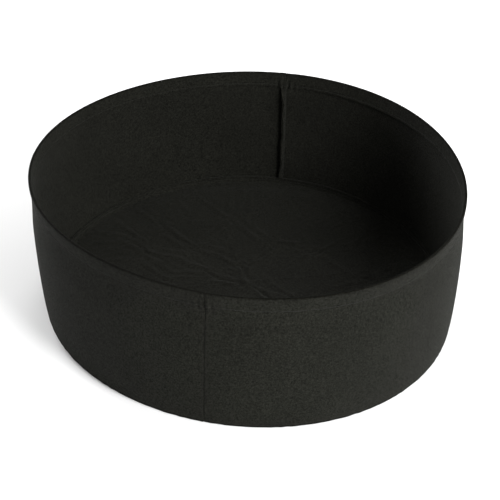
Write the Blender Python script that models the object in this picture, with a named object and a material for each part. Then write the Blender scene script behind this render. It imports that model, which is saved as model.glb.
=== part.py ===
"""A round fabric grow bag, 36 inches across and 12 inches high, standing open and empty.

The bag is cut from one weight of black needle-punched felt and sewn with lockstitch:
two wall panels that each go half way round, and a base disc. The panels meet in two
upright plain seams, whose allowances stand inside the bag as fins. Each panel's top edge
is turned in and stitched down as a hem, and its bottom edge is turned in and sewn to the
upturned edge of the base. Each seam holds a needle thread and a bobbin thread.

Metres, +Z up. The origin is on the ground at the middle of the base.
"""

import math

import bmesh
import bpy
from mathutils import Vector

MM = 0.001
INCH = 25.4 * MM

# Driving dimensions
RIM_RADIUS = 18 * INCH  # outside of the rim
HEIGHT = 12 * INCH
FELT = 2.5 * MM  # thickness of every panel
BASE_TAPER = 0.0068  # share of the radius that the wall draws in at its foot
WALL_BULGE = 0.0086  # share of the radius that it bulges half-way up
HEM_DEPTH = 35 * MM  # from the rim to the turned edge inside
HEM_STITCH_DROP = 30 * MM  # from the rim to the row of stitches
ALLOWANCE = 12 * MM  # width of felt beyond each seam's stitches
THREAD = 1.0 * MM  # width of a sewn thread on the felt
THREAD_HEIGHT = 0.6 * MM
FRONT_SEAM_DEG = 260.0  # direction of the front seam, from +X towards +Y

# Clearances between neighbouring layers
GAP = 0.3 * MM
FOLD_GAP = 0.6 * MM  # between the two layers of the hem
THREAD_ROOM = THREAD_HEIGHT + 2 * GAP  # between two layers that hold a thread

# Resolution
PANEL_STEPS = 36  # columns in half a turn, which every round piece shares
STEP = math.pi / PANEL_STEPS
BEND_STEPS = 4  # segments in each bend of the felt
WALL_ROWS = 6

# Heights that several pieces share
LIP_TOP = ALLOWANCE + FELT  # top of the base seam's upturned edges
BASE_STITCH_HEIGHT = 7 * MM
FIN_BOTTOM = LIP_TOP + 3 * MM
FIN_TOP = HEIGHT - HEM_DEPTH - 2 * MM
FIN_THREAD_OFFSET = 2.5 * MM  # of a side seam's stitches from the wall
BASE_BEND = 3 * MM  # radius of the turn-up at the base's edge


def wall_radius(z):
    """Outside radius of the wall at height z."""
    share = min(max(z / HEIGHT, 0.0), 1.0)
    taper = BASE_TAPER * (1 - share) ** 3
    bulge = WALL_BULGE * math.sin(math.pi * share)
    return RIM_RADIUS * (1 - taper + bulge)


def arc(centre, radius, start_deg, end_deg, steps):
    """Points (r, z) round part of a circle, both ends included."""
    points = []
    for i in range(steps + 1):
        angle = math.radians(start_deg + (end_deg - start_deg) * i / steps)
        points.append(Vector((centre[0] + radius * math.cos(angle), centre[1] + radius * math.sin(angle))))
    return points


def ribbon(path):
    """The closed outline of a strip of felt whose middle follows path, as (r, z) points."""
    left, right = [], []
    last = len(path) - 1
    for i, point in enumerate(path):
        along = (path[min(i + 1, last)] - path[max(i - 1, 0)]).normalized()
        offset = Vector((-along.y, along.x)) * FELT / 2
        left.append(point + offset)
        right.append(point - offset)
    return left + right[::-1]


def finish_mesh(bm, name, material):
    """Turns a bmesh into a named, shaded object."""
    bmesh.ops.recalc_face_normals(bm, faces=bm.faces)
    mesh = bpy.data.meshes.new(name)
    bm.to_mesh(mesh)
    bm.free()
    mesh.shade_smooth()
    mesh.set_sharp_from_angle(angle=math.radians(40))
    mesh.materials.append(material)
    obj = bpy.data.objects.new(name, mesh)
    bpy.context.scene.collection.objects.link(obj)
    return obj


def spun(name, outline, angles, material):
    """A closed profile carried round +Z through the given angles, which may make a full turn."""
    bm = bmesh.new()
    full = math.isclose(angles[-1] - angles[0], 2 * math.pi)
    stations = angles[:-1] if full else angles
    rings = []
    for angle in stations:
        ring = []
        for r, z in outline:
            ring.append(bm.verts.new((r * math.cos(angle), r * math.sin(angle), z)))
        rings.append(ring)
    count = len(outline)
    pairs = list(zip(rings, rings[1:]))
    if full:
        pairs.append((rings[-1], rings[0]))
    for near, far in pairs:
        for i in range(count):
            j = (i + 1) % count
            bm.faces.new((near[i], near[j], far[j], far[i]))
    if not full:
        bm.faces.new(rings[0][::-1])
        bm.faces.new(rings[-1])
    bmesh.ops.remove_doubles(bm, verts=bm.verts, dist=1e-7)
    return finish_mesh(bm, name, material)


def full_turn():
    """The angles of a whole ring, on the columns that the wall panels use."""
    start = math.radians(FRONT_SEAM_DEG)
    return [start + STEP * i for i in range(2 * PANEL_STEPS + 1)]


def half_turn(start_deg):
    """The angles of one wall panel, which stops short of both seams by half a gap."""
    start = math.radians(start_deg)
    short = GAP / 2 / RIM_RADIUS
    inner = [start + STEP * i for i in range(1, PANEL_STEPS)]
    return [start + short] + inner + [start + math.pi - short]


def wall_path():
    """The middle of a wall panel's felt in section, from its hem's edge to its lip's edge."""
    half = FELT / 2
    hem_bend = (FOLD_GAP + FELT) / 2
    hem_centre = (wall_radius(HEIGHT) - half - hem_bend, HEIGHT - half - hem_bend)
    inside = hem_centre[0] - hem_bend
    path = [Vector((inside, HEIGHT - HEM_DEPTH))]
    path += arc(hem_centre, hem_bend, 180, 0, BEND_STEPS)

    lip_bend = (THREAD_ROOM + FELT) / 2
    lip_centre = (wall_radius(0) - half - lip_bend, half + lip_bend)
    top, bottom = hem_centre[1], lip_centre[1]
    for i in range(1, WALL_ROWS):
        z = top + (bottom - top) * i / WALL_ROWS
        path.append(Vector((wall_radius(z) - half, z)))
    path += arc(lip_centre, lip_bend, 0, -180, BEND_STEPS)
    path.append(Vector((lip_centre[0] - lip_bend, LIP_TOP)))
    return path


def hem_inner_radius():
    """Inside radius of the hem, at its turned edge."""
    return wall_radius(HEIGHT) - FELT - FOLD_GAP - FELT


def wall_lip_inner_radius():
    """Inside radius of the wall's upturned edge, against which the base's edge is sewn."""
    return wall_radius(0) - FELT - THREAD_ROOM - FELT


def base_lip_inner_radius():
    """Inside radius of the base's upturned edge."""
    return wall_lip_inner_radius() - GAP - FELT


def upright_strip(name, seam_deg, side, depth, thickness, material):
    """A strip beside an upright seam, which follows the wall's curve from FIN_BOTTOM to FIN_TOP.

    side is +1 for the panel that starts at the seam and -1 for the one that ends there. depth
    is how far its two edges lie in from the wall's outside, and thickness how far its two
    faces lie from the seam.
    """
    bm = bmesh.new()
    seam = math.radians(seam_deg)
    outward = Vector((math.cos(seam), math.sin(seam), 0))
    across = Vector((-math.sin(seam), math.cos(seam), 0)) * side
    corners = (
        (depth[0], thickness[0]),
        (depth[0], thickness[1]),
        (depth[1], thickness[1]),
        (depth[1], thickness[0]),
    )
    rings = []
    for i in range(WALL_ROWS + 1):
        z = FIN_BOTTOM + (FIN_TOP - FIN_BOTTOM) * i / WALL_ROWS
        ring = []
        for inward, off_seam in corners:
            place = outward * (wall_radius(z) - inward) + across * off_seam
            ring.append(bm.verts.new((place.x, place.y, z)))
        rings.append(ring)
    for low, high in zip(rings, rings[1:]):
        for i in range(4):
            j = (i + 1) % 4
            bm.faces.new((low[i], low[j], high[j], high[i]))
    bm.faces.new(rings[0])
    bm.faces.new(rings[-1])
    return finish_mesh(bm, name, material)


def seam_fin(name, seam_deg, side, felt):
    """One seam allowance, a strip of felt that stands in from the wall beside a seam."""
    return upright_strip(name, seam_deg, side, (FELT / 2, FELT + ALLOWANCE), (GAP, GAP + FELT), felt)


def unite(target, piece):
    """Joins piece to target with a Boolean union and hides it as a helper."""
    modifier = target.modifiers.new("join_" + piece.name, "BOOLEAN")
    modifier.operation = "UNION"
    modifier.solver = "EXACT"
    modifier.object = piece
    piece.hide_render = True
    piece.display_type = "WIRE"


def wall_panel(name, seam_deg, felt):
    """Half of the wall, from the seam at seam_deg anticlockwise to the opposite seam."""
    panel = spun(name, ribbon(wall_path()), half_turn(seam_deg), felt)
    unite(panel, seam_fin(name + "_first_fin", seam_deg, 1, felt))
    unite(panel, seam_fin(name + "_last_fin", seam_deg + 180, -1, felt))
    return panel


def base_panel(felt):
    """The base disc, whose edge turns up inside the wall's turned-in edge."""
    half = FELT / 2
    edge = base_lip_inner_radius() + half
    path = [Vector((0, half)), Vector((edge / 2, half))]
    path += arc((edge - BASE_BEND, half + BASE_BEND), BASE_BEND, -90, 0, BEND_STEPS)
    path.append(Vector((edge, LIP_TOP)))
    return spun("base_panel", ribbon(path), full_turn(), felt)


def ring_thread(name, inner_radius, z, thread):
    """A row of stitches that goes right round, as one flat band of thread."""
    low, high = z - THREAD / 2, z + THREAD / 2
    inner, outer = inner_radius, inner_radius + THREAD_HEIGHT
    return spun(name, [(inner, low), (outer, low), (outer, high), (inner, high)], full_turn(), thread)


def seam_thread(name, seam_deg, side, thread):
    """A row of stitches up one face of a side seam, close to the wall."""
    start = FELT + FIN_THREAD_OFFSET
    face = GAP + FELT + GAP
    depth, thickness = (start, start + THREAD), (face, face + THREAD_HEIGHT)
    return upright_strip(name, seam_deg, side, depth, thickness, thread)


def hem_threads(thread):
    """The hem's two threads: the needle's outside the bag, and the bobbin's inside."""
    z = HEIGHT - HEM_STITCH_DROP
    ring_thread("hem_needle_thread", wall_radius(z - THREAD / 2) + GAP, z, thread)
    ring_thread("hem_bobbin_thread", hem_inner_radius() - GAP - THREAD_HEIGHT, z, thread)


def base_seam_threads(thread):
    """The base seam's two threads: one on the base's upturned edge, and one behind the wall's."""
    inside = base_lip_inner_radius() - GAP - THREAD_HEIGHT
    behind = wall_lip_inner_radius() + FELT + GAP
    ring_thread("base_seam_needle_thread", inside, BASE_STITCH_HEIGHT, thread)
    ring_thread("base_seam_bobbin_thread", behind, BASE_STITCH_HEIGHT, thread)


def material(name, colour, roughness):
    """A plain Principled material."""
    made = bpy.data.materials.new(name)
    made.use_nodes = True
    shader = made.node_tree.nodes["Principled BSDF"]
    shader.inputs["Base Color"].default_value = (*colour, 1)
    shader.inputs["Roughness"].default_value = roughness
    shader.inputs["Metallic"].default_value = 0
    made.diffuse_color = (*colour, 1)
    return made


def main():
    for obj in list(bpy.data.objects):
        bpy.data.objects.remove(obj)
    felt = material("black_felt", (0.020, 0.021, 0.017), 0.95)
    thread = material("black_thread", (0.012, 0.012, 0.011), 0.6)

    wall_panel("wall_panel_right", FRONT_SEAM_DEG, felt)
    wall_panel("wall_panel_left", FRONT_SEAM_DEG + 180, felt)
    base_panel(felt)
    hem_threads(thread)
    base_seam_threads(thread)
    for place, degrees in (("front", FRONT_SEAM_DEG), ("back", FRONT_SEAM_DEG + 180)):
        seam_thread(place + "_seam_needle_thread", degrees, 1, thread)
        seam_thread(place + "_seam_bobbin_thread", degrees, -1, thread)


main()
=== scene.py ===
"""The looks of a round fabric grow bag: black needle-punched felt, sewn with lockstitch.

Every piece is shaped round one surface, the middle of the wall's felt. A point is named by
its angle round the bag, its height, and how far inward of that surface it lies. A cloth
simulation slackens the surface a little, and a second one settles the felt of the base.
"""

import math

import bmesh
import bpy
import numpy as np
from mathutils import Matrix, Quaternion, Vector


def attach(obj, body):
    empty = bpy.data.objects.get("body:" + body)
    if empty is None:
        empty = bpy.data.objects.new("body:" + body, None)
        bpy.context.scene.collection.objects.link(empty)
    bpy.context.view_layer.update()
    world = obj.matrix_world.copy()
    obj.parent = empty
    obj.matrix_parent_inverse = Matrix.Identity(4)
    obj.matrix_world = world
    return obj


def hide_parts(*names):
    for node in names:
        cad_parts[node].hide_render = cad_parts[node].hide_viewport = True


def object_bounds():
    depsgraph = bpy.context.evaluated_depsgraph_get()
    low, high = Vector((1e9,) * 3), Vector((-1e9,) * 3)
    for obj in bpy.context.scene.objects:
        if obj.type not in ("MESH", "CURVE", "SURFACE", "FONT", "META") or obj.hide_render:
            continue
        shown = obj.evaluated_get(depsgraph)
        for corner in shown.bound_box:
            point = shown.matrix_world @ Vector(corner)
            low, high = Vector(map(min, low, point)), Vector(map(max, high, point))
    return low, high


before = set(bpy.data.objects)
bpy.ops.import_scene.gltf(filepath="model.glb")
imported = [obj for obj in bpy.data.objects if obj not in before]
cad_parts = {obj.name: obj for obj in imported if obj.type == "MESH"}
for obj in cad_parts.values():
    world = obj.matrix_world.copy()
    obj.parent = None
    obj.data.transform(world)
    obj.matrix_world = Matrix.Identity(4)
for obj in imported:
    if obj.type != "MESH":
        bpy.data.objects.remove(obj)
CAD_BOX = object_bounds()

MM = 0.001
TAU = 2 * math.pi

# The bag, as the CAD solids have it
HEIGHT = CAD_BOX[1].z
RADIUS = 1.5 * HEIGHT  # the bag is three times as wide as it is high
FELT = 2.5 * MM
HALF = FELT / 2
GAP = 0.3 * MM
BASE_TAPER = 0.0068  # share of the radius that the wall draws in at its foot
WALL_BULGE = 0.0086  # share of the radius that it bulges half-way up
HEM_DEPTH = 35 * MM
HEM_STITCH_HEIGHT = HEIGHT - 30 * MM
BASE_STITCH_HEIGHT = 7 * MM
ALLOWANCE = 12 * MM
FRONT_SEAM = math.radians(260)

# Where the soft wall differs from the CAD solids' plain one
TAPER_POWER = 8  # high, so that the wall draws in only close to the ground
RIM_OVAL = 6 * MM
RIM_CORNERS = 8 * MM
BASE_SLIDE = 8 * MM
BASE_OVAL = 10 * MM
BASE_CORNERS = 5 * MM
HEM_FLARE = 4.0 * MM  # how far the rim stands out over the wall under the hem
FLARE_END = 2.6 * MM  # how much of that the wall makes up again further down

# How far inward the middle of each layer of felt lies from the middle of the wall's
HEM_LAYER = FELT + 0.6 * MM
LIP_LAYER = FELT + 1.2 * MM
BASE_LAYER = LIP_LAYER + FELT + GAP

LIP_TOP = ALLOWANCE + FELT
FIN_BOTTOM = LIP_TOP + 0.5 * MM
FIN_TOP = HEIGHT - HEM_DEPTH + 5 * MM  # tucked under the hem
FIN_STEPS = 7  # across a seam allowance, from the seam to its edge
STITCHED_STEP = 3  # the one of them that the seam's stitches go through
FREE_LEAN = 0.45  # how far the allowances lean over, in radians
BASE_LEAN = 1.05
HEM_LEAN = 1.36
SEAM_BEND = 1.35 * MM  # radius at which a panel turns in at a side seam
SEAM_HALF_GAP = HALF + GAP / 2  # of a fin's middle from the seam's own plane
PRESSED = 0.25 * MM  # how far two layers press into each other where a seam closes

# Meshes
COLUMN_STEP = 3.8 * MM  # between the columns of a wall panel
SEAM_STEPS = (1.2, 1.6, 2.0, 2.4, 2.8, 3.0)  # the same in mm beside a seam, widening away from it
FOLD_STEPS = 8  # round a fold of felt
SEAM_BEND_STEPS = 6
BASE_COLUMNS = 480
BASE_RINGS = 74
BASE_TURN = 4 * MM  # radius at which the base turns up
BASE_TURN_STEPS = 6
CREASE_WIDTH = 6 * MM  # of the creases that the base was packed along
BASE_MIDDLE = 0.012  # share of the radius that one face fills at the middle of the base

# Thread
THREAD_RADIUS = 0.42 * MM
THREAD_SIDES = 6
PLIES = 3
PLY_LENGTH = 1.3 * MM  # along the thread from one ply to the next
STITCH = 4.6 * MM
STITCH_POINTS = 7
STITCH_LIFT = 0.7 * THREAD_RADIUS  # of a stitch's middle over the felt
STITCH_DIVE = 1.0 * MM  # of its ends into the felt

# Simulation
SIM_FRAMES = 24
KEPT_SLACK = (1.6, 0.3, 0.3)  # how much of the slack is used outward, along the wall and up
MOST_SLACK = 2.5 * MM
SMOOTHING = 3  # passes over the slack, so that no layer folds through another
LAID_SHARE = 0.965  # share of the radius that the base's felt covers as it settles
LOOSE_SHARE = 0.93  # share of the radius inside which that felt is free to move
BASE_STRETCH = 0.006  # share by which it is cut too large

# Materials
FOOT_AND_RIM_SHADE = "painted_foot_and_rim_shade"  # the attribute that says how strongly shade is painted into the felt's colour along its foot and rim
FELT_COLOUR = (0.0070, 0.0071, 0.0055)
THREAD_COLOUR = (0.0170, 0.0170, 0.0150)
FLOOR_COLOUR = (0.86, 0.86, 0.86)

# Studio
FLOOR_RADIUS = 14
FLOOR_DROP = 0.2 * MM  # so that the floor doesn't show through the base
LIGHT_SIZE = 2.0
LIGHT_DISTANCE = 4.2
SKY_LIGHT = 0.4
CAMERA_PLACE = (0, -2.356, 1.707)
CAMERA_TARGET = (0.0024, 0, 0.0984)
CAMERA_ROLL = math.radians(-1.37)
CAMERA_LENS = 93.8  # in mm, on a 36 mm sensor


# ---------------------------------------------------------------- the wall's middle surface


def smoothstep(low, high, x):
    """0 at low and 1 at high, with a smooth rise between them."""
    t = np.clip((x - low) / (high - low), 0, 1)
    return t * t * (3 - 2 * t)


def peak(x, centre, width):
    """1 at the centre, falling smoothly to almost 0 at twice the width."""
    return np.exp(-(((x - centre) / width) ** 2))


def wave(x, length, phase=0):
    """A sine wave that repeats once in each length."""
    return np.sin(x / length * TAU + phase)


def on_circle(radius, angle, height):
    """Points in space, from their place round the bag."""
    return np.stack([radius * np.cos(angle), radius * np.sin(angle), height], axis=-1)


def bulges(theta, count, direction):
    """Equal bulges round the bag, from -1 to 1, with one of them in a direction in degrees."""
    return np.cos(count * (theta - math.radians(direction)))


def rim_sway(theta):
    """How far the soft rim stands out from a circle: it is a little oval and three-sided."""
    return RIM_OVAL * bulges(theta, 2, 135) + RIM_CORNERS * bulges(theta, 3, 180)


def base_sway(theta):
    """The same at the base, which has also slid towards the front."""
    slid = BASE_SLIDE * bulges(theta, 1, 300)
    return slid + BASE_OVAL * bulges(theta, 2, 285) + BASE_CORNERS * bulges(theta, 3, 190)


def around(theta, seed, count, lowest, highest):
    """A seeded value from about -1 to 1 that varies smoothly round the bag: the sum of a count
    of cosines, which each go round a whole number of times from lowest to below highest."""
    rng = np.random.default_rng(seed)
    total = np.zeros_like(theta)
    for _ in range(count):
        total += np.cos(rng.integers(lowest, highest) * theta + rng.uniform(0, TAU))
    return total / math.sqrt(count) * 0.8


def plain_radius(theta, height):
    """Radius of the wall's middle surface before any slack."""
    share = np.clip(height / HEIGHT, 0, 1)
    profile = 1 - BASE_TAPER * (1 - share) ** TAPER_POWER + WALL_BULGE * np.sin(math.pi * share)
    return RADIUS * profile - HALF + share * rim_sway(theta) + (1 - share) * base_sway(theta)


def seam_distance(theta):
    """Distance along the wall from the nearer side seam, positive towards larger angles."""
    turn = np.mod(theta - FRONT_SEAM + math.pi / 2, math.pi) - math.pi / 2
    return turn * RADIUS


def hem_shape(height):
    """How far the wall draws in under the hem, whose two stiff layers flare out a little."""
    down = HEIGHT - height
    drawn_in = HEM_FLARE * smoothstep(3 * MM, 38 * MM, down)
    return drawn_in - FLARE_END * smoothstep(44 * MM, 110 * MM, down)


def puckers(theta, height):
    """Small gathers, inward, that the stitches leave in the felt."""
    along = theta * RADIUS
    near_hem = peak(height, HEM_STITCH_HEIGHT, 9 * MM)
    strength = 0.22 + 0.18 * around(theta, seed=11, count=5, lowest=4, highest=30)
    uneven = 2.5 * around(theta, seed=12, count=6, lowest=20, highest=60)
    gathers = near_hem * strength * wave(along, 19 * MM, uneven)

    beside = seam_distance(theta)
    near_seam = peak(beside, 0, 17 * MM)
    up = wave(height, 27 * MM, 1.4 * wave(height, 71 * MM) + np.sign(beside))
    seam = 0.22 * near_seam * up * np.abs(np.tanh(beside / (5 * MM)))

    seam_top = peak(height, HEIGHT - 28 * MM, 13 * MM) * peak(beside, 0, 36 * MM)
    bunched = 1.9 * seam_top * wave(beside, 13 * MM, 0.6 + height / (20 * MM))

    near_base = peak(height, 0, 16 * MM)
    strength = 0.3 + 0.2 * around(theta, seed=13, count=5, lowest=5, highest=25)
    uneven = 3 * around(theta, seed=14, count=6, lowest=12, highest=40)
    creased = near_base * strength * wave(along, 31 * MM, uneven)
    return MM * (gathers + seam + bunched + creased)


def beside_fins(theta):
    """1 where a side seam's allowances lie over to one side, and 0 away from there."""
    beside = seam_distance(theta)
    return smoothstep(-5 * MM, 1 * MM, beside) * (1 - smoothstep(9 * MM, 17 * MM, beside))


def fin_ridge(theta, height):
    """How far a seam's allowances push the wall out, which is most where the hem covers them."""
    in_hem = smoothstep(HEIGHT - HEM_DEPTH - 8 * MM, HEIGHT - HEM_DEPTH + 6 * MM, height)
    return beside_fins(theta) * (0.35 * MM * smoothstep(0, 20 * MM, height) + 0.9 * MM * in_hem)


def hem_bulge(theta, height):
    """How far the same allowances push the hem's inner layer in."""
    return 4.6 * MM * beside_fins(theta) * (1 - smoothstep(HEIGHT - 24 * MM, HEIGHT - 5 * MM, height))


class Slack:
    """How a cloth simulation moves the wall's middle surface: (outward, along, up) on a grid."""

    def __init__(self, columns=360, rows=41):
        self.columns, self.rows = columns, rows
        self.moves = np.zeros((columns, rows, 3))

    def settle(self):
        theta = np.arange(self.columns) * TAU / self.columns
        height = np.linspace(0, HEIGHT, self.rows)
        th, up = np.meshgrid(theta, height, indexing="ij")
        uneven = around(th, seed=21, count=12, lowest=3, highest=45)
        rough = 0.4 * MM * uneven * np.sin(up / HEIGHT * math.pi)
        radius = plain_radius(th, up) + rough
        start = on_circle(radius, th, up)
        held = 0.25 + 0.75 * (1 - smoothstep(0, 25 * MM, up))  # firmest on the ground
        drawn = np.maximum(peak(up, HEM_STITCH_HEIGHT, 6 * MM), peak(seam_distance(th), 0, 6 * MM))
        end = simulate(
            "wall_slack",
            start.reshape(-1, 3),
            ring_faces(self.columns, self.rows),
            held.ravel(),
            drawn.ravel(),
            shrink_low=0.0,
            shrink_high=0.04,
            gravity=0.08,
        )
        moved = end.reshape(start.shape) - start
        outward = np.stack([np.cos(th), np.sin(th), 0 * th], axis=-1)
        along = np.stack([-np.sin(th), np.cos(th), 0 * th], axis=-1)
        out = (moved * outward).sum(-1) + rough
        moves = np.stack([out, (moved * along).sum(-1), moved[..., 2]], axis=-1)
        moves -= moves.mean(axis=0)  # the felt keeps its size: only what varies round the bag is used
        moves *= KEPT_SLACK
        for _ in range(SMOOTHING):
            moves = (np.roll(moves, 1, axis=0) + 2 * moves + np.roll(moves, -1, axis=0)) / 4
            padded = np.pad(moves, ((0, 0), (1, 1), (0, 0)), mode="edge")
            moves = (padded[:, :-2] + 2 * moves + padded[:, 2:]) / 4
        on_ground = 1 - smoothstep(0, 20 * MM, height)
        moves *= 1 - on_ground[None, :, None]
        self.moves = MOST_SLACK * np.tanh(moves / MOST_SLACK)

    def at(self, theta, height):
        """The moves at any angle and height, read with a cubic between the grid's points."""
        x = np.mod(theta / TAU, 1) * self.columns
        y = np.clip(height / HEIGHT, 0, 1) * (self.rows - 1)
        i, j = np.floor(x).astype(int), np.floor(y).astype(int)
        wx, wy = cubic_weights(x - i), cubic_weights(y - j)
        total = np.zeros((*np.shape(theta), 3))
        for a in range(4):
            for b in range(4):
                column = (i + a - 1) % self.columns
                row = np.clip(j + b - 1, 0, self.rows - 1)
                total += (wx[a] * wy[b])[..., None] * self.moves[column, row]
        return total


def cubic_weights(t):
    """Catmull-Rom weights of four neighbouring points."""
    return (
        -0.5 * t + t * t - 0.5 * t**3,
        1 - 2.5 * t * t + 1.5 * t**3,
        0.5 * t + 2 * t * t - 1.5 * t**3,
        -0.5 * t * t + 0.5 * t**3,
    )


def ring_faces(columns, rows):
    """Faces of a grid whose columns close into a ring."""
    faces = []
    for i in range(columns):
        a, b = i * rows, (i + 1) % columns * rows
        faces += [(a + j, b + j, b + j + 1, a + j + 1) for j in range(rows - 1)]
    return faces


def add_object(name, data):
    made = bpy.data.objects.new(name, data)
    bpy.context.scene.collection.objects.link(made)
    return made


def simulate(name, points, faces, held, drawn, shrink_low, shrink_high, gravity, ground=False):
    """Where a sheet of felt comes to rest. held is how firmly each point keeps its place, and
    drawn how far it shrinks, from shrink_low at 0 to shrink_high at 1."""
    mesh = bpy.data.meshes.new(name)
    mesh.from_pydata(points.tolist(), [], faces)
    sheet = add_object(name, mesh)
    for group_name, weights in (("held", held), ("drawn", drawn)):
        group = sheet.vertex_groups.new(name=group_name)
        for index, weight in enumerate(weights.tolist()):
            group.add([index], weight, "REPLACE")
    modifier = sheet.modifiers.new("cloth", "CLOTH")
    cloth = modifier.settings
    cloth.quality = 5
    cloth.mass = 0.3
    cloth.tension_stiffness = cloth.compression_stiffness = 15
    cloth.shear_stiffness = 5
    cloth.bending_stiffness = 1.0
    cloth.vertex_group_mass = "held"
    cloth.pin_stiffness = 1.0
    cloth.vertex_group_shrink = "drawn"
    cloth.shrink_min, cloth.shrink_max = shrink_low, shrink_high
    cloth.effector_weights.gravity = gravity
    modifier.collision_settings.use_collision = ground
    modifier.collision_settings.distance_min = 1 * MM
    modifier.point_cache.frame_end = SIM_FRAMES
    for frame_number in range(1, SIM_FRAMES + 1):
        bpy.context.scene.frame_set(frame_number)
    settled = sheet.evaluated_get(bpy.context.evaluated_depsgraph_get())
    found = np.empty(len(points) * 3)
    settled.data.vertices.foreach_get("co", found)
    bpy.data.objects.remove(sheet)
    bpy.data.meshes.remove(mesh)
    bpy.context.scene.frame_set(1)
    return found.reshape(-1, 3)


slack = Slack()
slack.settle()


def middle(theta, height):
    """The wall's middle surface, as points in space."""
    moves = slack.at(theta, height)
    radius = plain_radius(theta, height) - hem_shape(height) - puckers(theta, height)
    radius = radius + fin_ridge(theta, height) + moves[..., 0]
    angle = theta + moves[..., 1] / RADIUS
    return on_circle(radius, angle, height + moves[..., 2])


def plain_wall(theta, height):
    """The same before gathers, hem and slack."""
    return on_circle(plain_radius(theta, height), theta, height)


def outward_normals(theta, height):
    """Unit vectors square to the plain wall. All layers share them, so that small gathers don't
    make one layer cross another."""
    step = 4 * MM
    across = plain_wall(theta + step / RADIUS, height) - plain_wall(theta - step / RADIUS, height)
    up = plain_wall(theta, height + step) - plain_wall(theta, height - step)
    normal = np.cross(across, up)
    return normal / np.linalg.norm(normal, axis=-1, keepdims=True)


def place(theta, height, inward):
    """Points that lie inward of the wall's middle surface, square to the plain wall."""
    theta, height, inward = np.broadcast_arrays(theta, height, inward)
    return middle(theta, height) - outward_normals(theta, height) * inward[..., None]


# ---------------------------------------------------------------- meshes


def grid_mesh(name, points, kept, uv, closed=False):
    """A mesh of the cells of a grid whose four corners are all in kept. closed joins its last
    column to its first."""
    columns, rows = kept.shape
    i = np.arange(columns if closed else columns - 1)[:, None]
    j = np.arange(rows - 1)[None, :]
    near, far = i, (i + 1) % columns
    corners = np.stack(
        [near * rows + j, far * rows + j, far * rows + j + 1, near * rows + j + 1], axis=-1
    ).reshape(-1, 4)
    corners = corners[kept.ravel()[corners].all(axis=1)]
    used = np.unique(corners)
    renumber = np.full(columns * rows, -1)
    renumber[used] = np.arange(len(used))
    mesh = bpy.data.meshes.new(name)
    mesh.from_pydata(points.reshape(-1, 3)[used].tolist(), [], renumber[corners].tolist())
    layer = mesh.uv_layers.new(name="UVMap")
    values = uv.reshape(-1, 2)[corners.ravel()]
    layer.data.foreach_set("uv", values.astype(np.float32).ravel())
    mesh.shade_smooth()
    return add_object(name, mesh)


def apply_modifiers(piece):
    """Turns a piece's modifiers into its mesh."""
    settled = piece.evaluated_get(bpy.context.evaluated_depsgraph_get())
    mesh = bpy.data.meshes.new_from_object(settled)
    piece.modifiers.clear()
    old, piece.data = piece.data, mesh
    bpy.data.meshes.remove(old)


def thicken(piece):
    """Gives a sheet the felt's thickness, half on each side."""
    modifier = piece.modifiers.new("felt", "SOLIDIFY")
    modifier.thickness = FELT
    modifier.offset = 0
    modifier.use_even_offset = True
    modifier.use_rim = True
    apply_modifiers(piece)
    piece.data.shade_smooth()
    piece.data.set_sharp_from_angle(angle=math.radians(50))


def spaced(start, end, step):
    """Values from start to end about step apart, without the last."""
    count = max(1, round(abs(end - start) / step))
    return np.linspace(start, end, count, endpoint=False).tolist()


def bend(centre, radius, start_deg, end_deg, steps):
    """Section points (inward, height) round part of a circle, without the last."""
    angles = np.radians(np.linspace(start_deg, end_deg, steps, endpoint=False))
    return [(centre[0] - radius * math.cos(a), centre[1] + radius * math.sin(a)) for a in angles]


def wall_section():
    """A wall panel's felt in section, from the hem's edge over the rim and down to its lip."""
    top_bend, bottom_bend = HEM_LAYER / 2, LIP_LAYER / 2
    top = HEIGHT - HALF - top_bend
    bottom = HALF + bottom_bend
    above_stitches, below_stitches = HEM_STITCH_HEIGHT + 6 * MM, HEM_STITCH_HEIGHT - 8 * MM
    above_inside = HEM_STITCH_HEIGHT + 5 * MM
    above_foot = bottom + 15 * MM
    path = [(HEM_LAYER, z) for z in spaced(HEIGHT - HEM_DEPTH, above_inside, 1.6 * MM)]
    path += [(HEM_LAYER, z) for z in spaced(above_inside, top, 3.5 * MM)]
    path += bend((top_bend, top), top_bend, 180, 0, FOLD_STEPS)
    path += [(0, z) for z in spaced(top, above_stitches, 3 * MM)]
    path += [(0, z) for z in spaced(above_stitches, below_stitches, 1.4 * MM)]
    path += [(0, z) for z in spaced(below_stitches, above_foot, 4 * MM)]
    path += [(0, z) for z in spaced(above_foot, bottom, 2 * MM)]
    path += bend((bottom_bend, bottom), bottom_bend, 0, -180, FOLD_STEPS)
    path += [(LIP_LAYER, z) for z in spaced(bottom, LIP_TOP, 2 * MM)] + [(LIP_LAYER, LIP_TOP)]
    return np.array(path)


def inside_normals(path):
    """Unit vectors (inward, height) square to a section, towards the inside of its folds."""
    along = np.gradient(path, axis=0)
    along /= np.linalg.norm(along, axis=1, keepdims=True)
    return np.stack([-along[:, 1], along[:, 0]], axis=1)


def pinched(path):
    """The section with its two layers drawn together at the hem's stitches."""
    drawn = MM * peak(path[:, 1], HEM_STITCH_HEIGHT, 2 * MM)
    side = np.where(path[:, 0] > HEM_LAYER / 2, -0.5, 0.3)
    return np.stack([path[:, 0] + side * drawn, path[:, 1]], axis=1)


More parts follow.
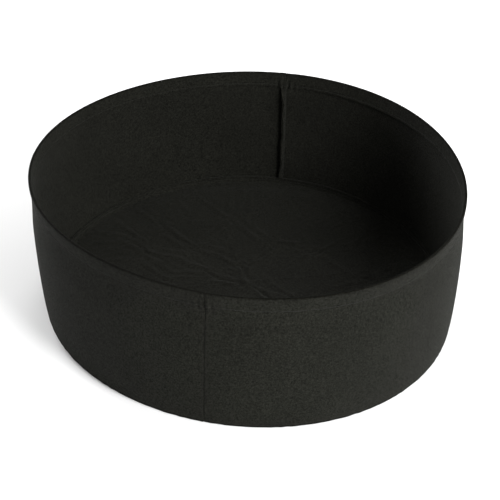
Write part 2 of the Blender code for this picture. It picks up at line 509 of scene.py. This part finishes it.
def fin_line(height, seam):
    """The middle line between a seam's two allowances, as (along, inward, lean) at each height.

    They lean over towards larger angles, and lie flat where the hem and the base hold them.
    """
    low = smoothstep(FIN_BOTTOM + 50 * MM, FIN_BOTTOM, height)
    high = smoothstep(HEIGHT - HEM_DEPTH - 45 * MM, HEIGHT - HEM_DEPTH, height)
    wander = 0.20 * wave(height, 96 * MM, seam) + 0.12 * wave(height, 41 * MM, 2 * seam)
    free = FREE_LEAN + wander
    lean = free + (BASE_LEAN - free) * low + (HEM_LEAN - free) * high * (1 - low)
    length = ALLOWANCE / FIN_STEPS
    along, inward, line = np.zeros_like(height), SEAM_BEND + 0 * height, []
    for k in range(FIN_STEPS + 1):
        angle = lean * min(1, 0.25 + k / FIN_STEPS * 2.4)  # upright at the seam, then bent over
        line.append((along.copy(), inward.copy(), angle))
        along = along + length * np.sin(angle)
        inward = inward + length * np.cos(angle)
    return line


def panel_columns(seam, side, height, has_fin):
    """The columns of a panel at one of its ends: (along, depth) at each row, from the fin's tip
    to where the felt meets the wall. side is +1 where the panel starts, and -1 where it ends."""
    columns = []
    off_seam = np.where(has_fin, SEAM_HALF_GAP, HALF - PRESSED)
    for along, inward, angle in reversed(fin_line(height, seam)[1:]):
        shift = side * off_seam
        columns.append((along + shift * np.cos(angle), inward - shift * np.sin(angle), True))
    for angle in np.radians(np.linspace(90, 0, SEAM_BEND_STEPS)):
        along = side * (off_seam + SEAM_BEND * (1 - math.sin(angle)))
        depth = SEAM_BEND * (1 - math.cos(angle))
        columns.append((along, depth + 0 * height, False))
    return columns


def wall_panel(name, start):
    """Half of the wall with its hem, lip and seam allowances, as one sheet of felt."""
    flat_path = wall_section()
    path, normals = pinched(flat_path), inside_normals(flat_path)
    height = path[:, 1]
    last = start + math.pi
    has_fin = (flat_path[:, 0] == 0) & (height > FIN_BOTTOM) & (height < FIN_TOP)
    beside = np.cumsum(SEAM_STEPS) * MM + SEAM_HALF_GAP + SEAM_BEND
    width = math.pi * RADIUS
    between = spaced(beside[-1] + COLUMN_STEP, width - beside[-1], COLUMN_STEP)
    middle_columns = [*beside, *between, *(width - beside[::-1])]
    plain = [(along + 0 * height, 0 * height, False) for along in middle_columns]
    first_end = panel_columns(start, 1, height, has_fin)
    last_end = panel_columns(last, -1, height, has_fin)[::-1]
    columns = [(start, *column) for column in first_end + plain]
    columns += [(last, *column) for column in last_end]
    theta = np.array([seam + along / RADIUS for seam, along, _, _ in columns])
    depth = np.array([depth for _, _, depth, _ in columns])
    is_fin = np.array([fin for *_, fin in columns])

    inward = path[:, 0] + depth * normals[:, 0]
    up = height + depth * normals[:, 1]
    on_hem = smoothstep(0, HEM_LAYER, flat_path[:, 0]) * (height > HEIGHT / 2)
    points = place(theta, up, inward + on_hem * hem_bulge(theta, up))
    kept = np.where(is_fin[:, None], has_fin[None, :], True)
    run = np.concatenate([[0], np.cumsum(np.linalg.norm(np.diff(flat_path, axis=0), axis=1))])
    uv = np.stack([theta * RADIUS, np.broadcast_to(run, theta.shape)], axis=-1)
    piece = grid_mesh(name, points, kept, uv)
    thicken(piece)
    mark_painted_shade(piece)
    return piece


def mark_painted_shade(piece):
    """Marks where shade is painted into the felt's colour: along the fold that the bag stands on, and
    along the rim's fold."""
    places = np.empty(len(piece.data.vertices) * 3)
    piece.data.vertices.foreach_get("co", places)
    up = places[2::3]
    # Painted shade, strongest where the wall meets the floor and along the rim's top edge
    foot = peak(np.maximum(up, 0), 0, 4 * MM)
    rim = peak(np.maximum(HEIGHT - up, 0), 0, 2.5 * MM)
    painted_shade = np.maximum(foot, 0.8 * rim)
    layer = piece.data.attributes.new(FOOT_AND_RIM_SHADE, "FLOAT", "POINT")
    layer.data.foreach_set("value", painted_shade.astype(np.float32))


def base_disc(name):
    """The base, with its edge turned up against the wall's lip."""
    theta = np.arange(BASE_COLUMNS) * TAU / BASE_COLUMNS
    turn_height, turn_layer = HALF + BASE_TURN, BASE_LAYER + BASE_TURN
    path = [(BASE_LAYER, z) for z in spaced(LIP_TOP, turn_height, 2 * MM)]
    path += bend((turn_layer, turn_height), BASE_TURN, 0, -90, BASE_TURN_STEPS)
    path = np.array(path)
    edge = place(theta[:, None], path[None, :, 1], path[None, :, 0])
    outermost = place(theta, turn_height, turn_layer)
    shares = np.linspace(1, BASE_MIDDLE, BASE_RINGS)
    rings = outermost[:, None, :] * np.stack([shares, shares, 0 * shares], axis=-1)[None, :, :]
    rings[..., 2] = HALF + base_creases(rings)
    points = np.concatenate([edge, rings], axis=1)
    piece = grid_mesh(name, points, np.ones(points.shape[:2], bool), points[..., :2], closed=True)
    close_middle(piece)
    thicken(piece)
    return piece


def close_middle(piece):
    """Fills the small hole at the middle of the base."""
    mesh = piece.data
    bm = bmesh.new()
    bm.from_mesh(mesh)
    inner = [e for e in bm.edges if e.is_boundary and e.verts[0].co.xy.length < RADIUS / 2]
    bmesh.ops.contextual_create(bm, geom=inner)
    bm.to_mesh(mesh)
    bm.free()


class BaseRest:
    """How the base's felt lies on the ground, as heights on a square grid."""

    def __init__(self, cells=112):
        self.cells = cells
        self.heights = np.zeros((cells + 1, cells + 1))

    def settle(self):
        """Lays a disc of felt, cut a little too large for the wall that holds it, on the ground."""
        side = np.linspace(-RADIUS, RADIUS, self.cells + 1)
        x, y = np.meshgrid(side, side, indexing="ij")
        reach = np.hypot(x, y)
        inside = reach < RADIUS * LAID_SHARE
        index = np.full(x.shape, -1)
        index[inside] = np.arange(inside.sum())
        corners = np.stack([index[:-1, :-1], index[1:, :-1], index[1:, 1:], index[:-1, 1:]], axis=-1)
        corners = corners.reshape(-1, 4)
        faces = corners[(corners >= 0).all(axis=1)].tolist()
        angle = np.arctan2(y, x)
        uneven = around(angle, seed=41, count=6, lowest=2, highest=9)
        rough = 1 + 0.5 * uneven * np.sin(reach * 31) + 0.5 * np.sin(x * 14 + 1) * np.cos(y * 11)
        start = np.stack([x, y, 2.5 * MM + 2 * MM * rough], axis=-1)[inside]
        held = (reach > RADIUS * LOOSE_SHARE)[inside].astype(float)
        bpy.ops.mesh.primitive_plane_add(size=4)
        ground = bpy.context.object
        ground.modifiers.new("ground", "COLLISION")
        ground.collision.thickness_outer = 1 * MM
        end = simulate(
            "base_rest",
            start,
            faces,
            held,
            0 * held,
            shrink_low=-BASE_STRETCH,
            shrink_high=-BASE_STRETCH,
            gravity=1.0,
            ground=True,
        )
        bpy.data.objects.remove(ground)
        self.heights[inside] = end[:, 2]
        self.heights[inside] -= end[:, 2].min()
        self.heights *= 1 - smoothstep(0.86 * RADIUS, 0.94 * RADIUS, reach)

    def at(self, x, y):
        """The height at any place, read with a cubic between the grid's points."""
        u = np.clip((x / RADIUS + 1) / 2 * self.cells, 1, self.cells - 2.001)
        v = np.clip((y / RADIUS + 1) / 2 * self.cells, 1, self.cells - 2.001)
        i, j = np.floor(u).astype(int), np.floor(v).astype(int)
        wu, wv = cubic_weights(u - i), cubic_weights(v - j)
        return sum(wu[a] * wv[b] * self.heights[i + a - 1, j + b - 1] for a in range(4) for b in range(4))


base_rest = BaseRest()
base_rest.settle()


def base_creases(points):
    """How far the base's felt stands off the ground, with the two creases it was packed along."""
    x, y = points[..., 0], points[..., 1]
    fade = 1 - smoothstep(0.80 * RADIUS, 0.92 * RADIUS, np.hypot(x, y))
    first_crease = np.exp(-np.abs(x * 0.97 + y * 0.24 + 4 * MM) / CREASE_WIDTH)
    second_crease = np.exp(-np.abs(y * 0.98 - x * 0.19 - 10 * MM) / CREASE_WIDTH)
    return MM * fade * (1.3 * first_crease + 1.0 * second_crease) + base_rest.at(x, y)


# ---------------------------------------------------------------- stitches


def stitched_path(count):
    """Where a thread's middle lies over each stitch: (share of the row, height over the felt)."""
    shares, heights = [], []
    for k in range(count):
        for m in range(STITCH_POINTS):
            t = m / STITCH_POINTS
            dive = STITCH_DIVE * (1 - min(1, 6 * min(t, 1 - t)))
            shares.append((k + t) / count)
            heights.append(STITCH_LIFT * (1 - (2 * t - 1) ** 6) - dive)
    return np.array(shares), np.array(heights)


def thread_mesh(name, middle_points, closed):
    """A tube of thread along a line of points."""
    ahead = np.roll(middle_points, -1, axis=0) - np.roll(middle_points, 1, axis=0)
    if not closed:
        ahead[0] = middle_points[1] - middle_points[0]
        ahead[-1] = middle_points[-1] - middle_points[-2]
    ahead /= np.linalg.norm(ahead, axis=1, keepdims=True)
    up = np.cross(ahead, np.cross(np.array([0, 0, 1.0]) + 0 * ahead, ahead))
    small = np.linalg.norm(up, axis=1) < 0.2
    up[small] = np.cross(ahead[small], np.array([1.0, 0, 0]))
    up /= np.linalg.norm(up, axis=1, keepdims=True)
    side = np.cross(ahead, up)
    angles = np.arange(THREAD_SIDES + 1) * TAU / THREAD_SIDES
    towards_up, towards_side = np.cos(angles)[None, :, None], np.sin(angles)[None, :, None]
    ring = towards_up * up[:, None, :] + towards_side * side[:, None, :]
    points = middle_points[:, None, :] + THREAD_RADIUS * ring
    run = np.concatenate([[0], np.cumsum(np.linalg.norm(np.diff(middle_points, axis=0), axis=1))])
    uv = np.stack(np.broadcast_arrays(run[:, None], angles[None, :] / TAU), axis=-1)
    return tube_mesh(name, points[:, :-1], uv, closed)


def tube_mesh(name, points, uv, closed):
    """Faces round and along a tube, with end caps where it is open."""
    count, sides = points.shape[:2]
    faces, uvs = [], []
    for i in range(count if closed else count - 1):
        j = (i + 1) % count
        for k in range(sides):
            m = (k + 1) % sides
            faces.append((i * sides + k, j * sides + k, j * sides + m, i * sides + m))
            uvs += [uv[i, k], uv[j, k], uv[j, k + 1], uv[i, k + 1]]
    if not closed:
        faces.append(tuple(range(sides - 1, -1, -1)))
        faces.append(tuple(range((count - 1) * sides, count * sides)))
        uvs += [uv[0, 0]] * sides + [uv[-1, 0]] * sides
    mesh = bpy.data.meshes.new(name)
    mesh.from_pydata(points.reshape(-1, 3).tolist(), [], faces)
    layer = mesh.uv_layers.new(name="UVMap")
    layer.data.foreach_set("uv", np.array(uvs, np.float32).ravel())
    mesh.shade_smooth()
    return add_object(name, mesh)


def ring_stitches(name, height, face, outward):
    """A row of stitches round the bag, on a face of felt that lies inward by face. outward says
    which way the thread stands on it."""
    count = round(TAU * RADIUS / STITCH)
    shares, lift = stitched_path(count)
    theta = FRONT_SEAM + shares * TAU
    inward = face - lift if outward else face + lift
    if face > HEM_LAYER and height > HEIGHT / 2:
        inward = inward + hem_bulge(theta, height)
    wobble = 0.12 * MM * around(theta, seed=31, count=6, lowest=40, highest=200)
    return thread_mesh(name, place(theta, height + wobble, inward), True)


def seam_stitches(name, seam, side):
    """The stitches up one face of a side seam's fins."""
    count = round((FIN_TOP - FIN_BOTTOM) / STITCH)
    shares, lift = stitched_path(count)
    height = FIN_BOTTOM + shares * (FIN_TOP - FIN_BOTTOM)
    along, inward, angle = fin_line(height, seam)[STITCHED_STEP]
    shift = side * (FELT + GAP / 2 + lift)
    theta = seam + (along + shift * np.cos(angle)) / RADIUS
    return thread_mesh(name, place(theta, height, inward - shift * np.sin(angle)), False)


# ---------------------------------------------------------------- materials


def node(tree, kind, inputs=(), **settings):
    """Adds a shader node, with its settings, values and links."""
    made = tree.nodes.new(kind)
    for name, value in settings.items():
        setattr(made, name, value)
    for name, value in dict(inputs).items():
        if isinstance(value, bpy.types.NodeSocket):
            tree.links.new(value, made.inputs[name])
        else:
            made.inputs[name].default_value = value
    return made


def noise(tree, coordinates, scale, detail, roughness=0.6, distortion=0.0):
    """Fractal noise, about 0.5 on average, with a scale in features per metre."""
    inputs = {
        "Vector": coordinates,
        "Scale": scale,
        "Detail": detail,
        "Roughness": roughness,
        "Distortion": distortion,
    }
    return node(tree, "ShaderNodeTexNoise", inputs).outputs["Fac"]


def remap(tree, value, from_low, from_high, to_low, to_high):
    inputs = {
        "Value": value,
        "From Min": from_low,
        "From Max": from_high,
        "To Min": to_low,
        "To Max": to_high,
    }
    return node(tree, "ShaderNodeMapRange", inputs).outputs["Result"]


def maths(tree, operation, first, second=0.0):
    return node(tree, "ShaderNodeMath", {0: first, 1: second}, operation=operation).outputs[0]


def scaled_colour(tree, colour, light):
    inputs = {0: colour, "Scale": light}
    return node(tree, "ShaderNodeVectorMath", inputs, operation="SCALE").outputs[0]


def add_bump(tree, shader, height, strength, distance):
    inputs = {"Height": height, "Strength": strength, "Distance": distance}
    bump = node(tree, "ShaderNodeBump", inputs)
    tree.links.new(bump.outputs["Normal"], shader.inputs["Normal"])


def new_material(name):
    """A material, with its nodes and its Principled shader."""
    made = bpy.data.materials.new(name)
    made.use_nodes = True
    return made, made.node_tree, made.node_tree.nodes["Principled BSDF"]


def felt_material():
    """Black needle-punched felt: mottled, matt and slightly hairy, with shade painted along its foot and
    rim.
    """
    made, tree, shader = new_material("black_felt")
    where = node(tree, "ShaderNodeTexCoord").outputs["Object"]
    cloud = noise(tree, where, 7, 3)
    mottle = noise(tree, where, 240, 5, 0.78)
    tuft = noise(tree, where, 560, 4, 0.7, 0.4)
    strands = noise(tree, where, 620, 3, 0.5, 2.2)
    off_strand = maths(tree, "ABSOLUTE", maths(tree, "SUBTRACT", strands, 0.5))
    hair = remap(tree, off_strand, 0.0, 0.035, 1.0, 0.0)
    painted_shade = node(tree, "ShaderNodeAttribute", attribute_name=FOOT_AND_RIM_SHADE).outputs["Fac"]

    light = remap(tree, cloud, 0.3, 0.7, 0.88, 1.14)
    light = maths(tree, "MULTIPLY", light, remap(tree, mottle, 0.34, 0.66, 0.28, 1.85))
    light = maths(tree, "MULTIPLY", light, remap(tree, tuft, 0.32, 0.68, 0.40, 1.65))
    light = maths(tree, "ADD", light, maths(tree, "MULTIPLY", hair, 0.8))
    # Painted shade: the colour is darkened along the foot and the rim
    light = maths(tree, "MULTIPLY", light, remap(tree, painted_shade, 0, 1, 1, 0.35))
    tree.links.new(scaled_colour(tree, FELT_COLOUR, light), shader.inputs["Base Color"])

    # The same painted-shade mask also weakens the gloss and the sheen there
    gloss = remap(tree, painted_shade, 0, 1, 0.07, 0.01)
    gloss = maths(tree, "MULTIPLY", gloss, remap(tree, mottle, 0.34, 0.66, 0.45, 1.6))
    tree.links.new(gloss, shader.inputs["Specular IOR Level"])
    tree.links.new(remap(tree, tuft, 0.3, 0.7, 0.82, 1.0), shader.inputs["Roughness"])
    tree.links.new(remap(tree, painted_shade, 0, 1, 0.03, 0.004), shader.inputs["Sheen Weight"])
    shader.inputs["Sheen Roughness"].default_value = 0.45
    shader.inputs["Sheen Tint"].default_value = (0.80, 0.82, 0.76, 1)

    bumps = maths(tree, "MULTIPLY", mottle, 0.8)
    bumps = maths(tree, "ADD", bumps, maths(tree, "MULTIPLY", tuft, 0.5))
    bumps = maths(tree, "ADD", bumps, maths(tree, "MULTIPLY", hair, 0.25))
    add_bump(tree, shader, bumps, 0.8, 0.9 * MM)
    return made


def thread_material():
    """Black twisted polyester thread, with a little gloss on its plies, and shade painted between them."""
    made, tree, shader = new_material("black_thread")
    place_on_thread = node(tree, "ShaderNodeTexCoord").outputs["UV"]
    split = node(tree, "ShaderNodeSeparateXYZ", {0: place_on_thread})
    turns = maths(tree, "MULTIPLY", split.outputs["X"], TAU / PLY_LENGTH)
    plies = maths(tree, "ADD", turns, maths(tree, "MULTIPLY", split.outputs["Y"], PLIES * TAU))
    ply = maths(tree, "SINE", plies)
    # Painted shade and highlight: the colour is darker in the grooves between plies and lighter on their
    # crowns
    light = remap(tree, ply, -1, 1, 0.55, 1.35)
    tree.links.new(scaled_colour(tree, THREAD_COLOUR, light), shader.inputs["Base Color"])
    tree.links.new(remap(tree, ply, -1, 1, 0.55, 0.38), shader.inputs["Roughness"])
    add_bump(tree, shader, ply, 0.6, 0.1 * MM)
    shader.inputs["Specular IOR Level"].default_value = 0.07
    return made


# ---------------------------------------------------------------- the bag


def add_piece(piece, material, cad_node):
    piece.data.materials.clear()
    piece.data.materials.append(material)
    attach(piece, "root")
    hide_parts(cad_node)
    return piece


def make_bag():
    felt, thread = felt_material(), thread_material()
    for name, start in (("right", FRONT_SEAM), ("left", FRONT_SEAM + math.pi)):
        panel = wall_panel(f"felt_wall_{name}", start)
        add_piece(panel, felt, f"wall_panel_{name}")

    base = add_piece(base_disc("felt_base"), felt, "base_panel")

    base_face = BASE_LAYER + HALF
    rings = (
        ("hem_stitches_outside", "hem_needle_thread", HEM_STITCH_HEIGHT, -HALF + 0.3 * MM, True),
        ("hem_stitches_inside", "hem_bobbin_thread", HEM_STITCH_HEIGHT, HEM_LAYER + HALF - 0.5 * MM, False),
        ("base_stitches_inside", "base_seam_needle_thread", BASE_STITCH_HEIGHT, base_face, False),
        ("base_stitches_hidden", "base_seam_bobbin_thread", BASE_STITCH_HEIGHT, LIP_LAYER - HALF, True),
    )
    for name, cad_node, height, face, outward in rings:
        add_piece(ring_stitches(name, height, face, outward), thread, cad_node)

    for place_name, seam in (("front", FRONT_SEAM), ("back", FRONT_SEAM + math.pi)):
        for side, which in ((1, "needle"), (-1, "bobbin")):
            row = seam_stitches(f"{place_name}_seam_{which}_stitches", seam, side)
            add_piece(row, thread, f"{place_name}_seam_{which}_thread")


# ---------------------------------------------------------------- floor, light and camera


def floor_material():
    made, _, shader = new_material("pale_floor")
    shader.inputs["Base Color"].default_value = (*FLOOR_COLOUR, 1)
    shader.inputs["Roughness"].default_value = 0.8
    shader.inputs["Specular IOR Level"].default_value = 0.2
    return made


def add_floor():
    place_on_ground = (0, 0, -FLOOR_DROP)
    bpy.ops.mesh.primitive_circle_add(
        vertices=96, radius=FLOOR_RADIUS, fill_type="NGON", location=place_on_ground
    )
    floor = bpy.context.object
    floor.name = "floor"
    floor.data.materials.append(floor_material())


def add_light(name, azimuth_deg, rise_deg, power):
    """A round, soft light that faces the bag. The azimuth counts from the front, to the right."""
    azimuth, rise = math.radians(azimuth_deg), math.radians(rise_deg)
    level = math.cos(rise)
    away = Vector((level * math.sin(azimuth), -level * math.cos(azimuth), math.sin(rise)))
    data = bpy.data.lights.new(name, "AREA")
    data.shape = "DISK"
    data.size = LIGHT_SIZE
    data.energy = power
    light = add_object(name, data)
    light.location = Vector((0, 0, HEIGHT / 2)) + LIGHT_DISTANCE * away
    light.rotation_euler = (-away).to_track_quat("-Z", "Y").to_euler()


def add_lights():
    world = bpy.data.worlds.new("studio")
    bpy.context.scene.world = world
    world.use_nodes = True
    background = world.node_tree.nodes["Background"]
    background.inputs["Color"].default_value = (1, 1, 1, 1)
    background.inputs["Strength"].default_value = SKY_LIGHT
    add_light("key", azimuth_deg=45, rise_deg=35, power=257)
    add_light("low_front", azimuth_deg=30, rise_deg=10, power=48)
    add_light("back_left", azimuth_deg=-140, rise_deg=25, power=176)
    add_light("back", azimuth_deg=180, rise_deg=35, power=52)


def add_camera():
    data = bpy.data.cameras.new("camera")
    data.lens = CAMERA_LENS
    data.sensor_width = 36
    camera = add_object("camera", data)
    camera.location = CAMERA_PLACE
    towards = Vector(CAMERA_TARGET) - camera.location
    roll = Quaternion(towards.normalized(), CAMERA_ROLL)
    camera.rotation_mode = "QUATERNION"
    camera.rotation_quaternion = roll @ towards.to_track_quat("-Z", "Y")
    bpy.context.scene.camera = camera


add_camera()
make_bag()
add_floor()
add_lights()
bpy.context.scene.view_settings.view_transform = "Standard"
